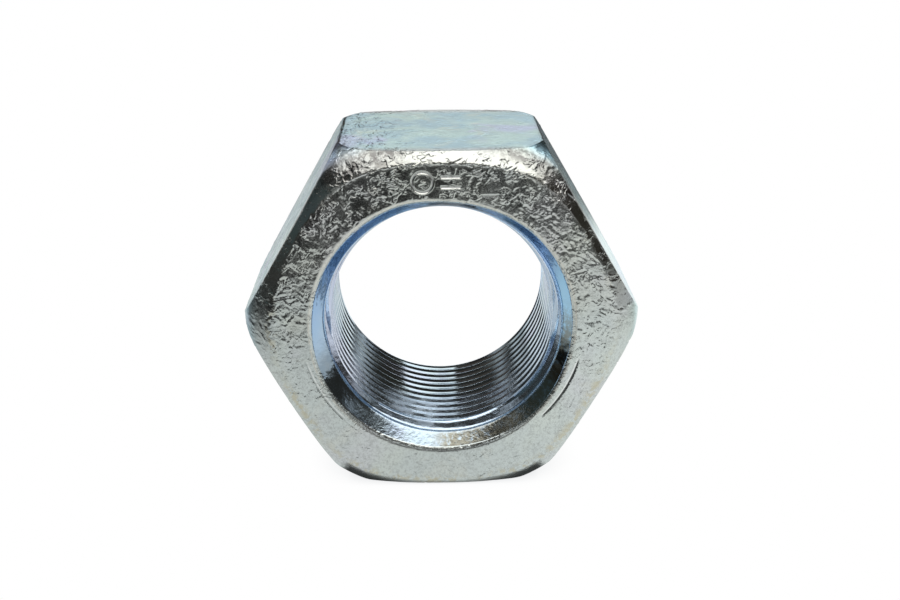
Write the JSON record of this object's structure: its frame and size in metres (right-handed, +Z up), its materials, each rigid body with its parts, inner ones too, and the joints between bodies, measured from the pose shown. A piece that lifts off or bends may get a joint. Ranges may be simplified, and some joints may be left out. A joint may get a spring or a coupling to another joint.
{
  "type": "hex nut",
  "caption": "Large zinc-plated hex nut, forged, with corner chamfers and a countersunk fine-thread bore, standing on one wrench flat.",
  "frame": {"origin": "on the thread axis, half way through the nut's thickness, which is the centre of its box", "axes": "+Z up with the nut standing on one wrench flat, thread axis along Y, marked bearing face towards -Y, long corners towards +X and -X"},
  "size_m": [0.0652, 0.0334, 0.0568],
  "materials": {
    "zinc_plated_steel": "bright bluish zinc plate over forged and turned steel, satin, fine forging texture on the faces"
  },
  "bodies": {
    "root": {"nut_body": "zinc_plated_steel"}
  },
  "joints": []
}
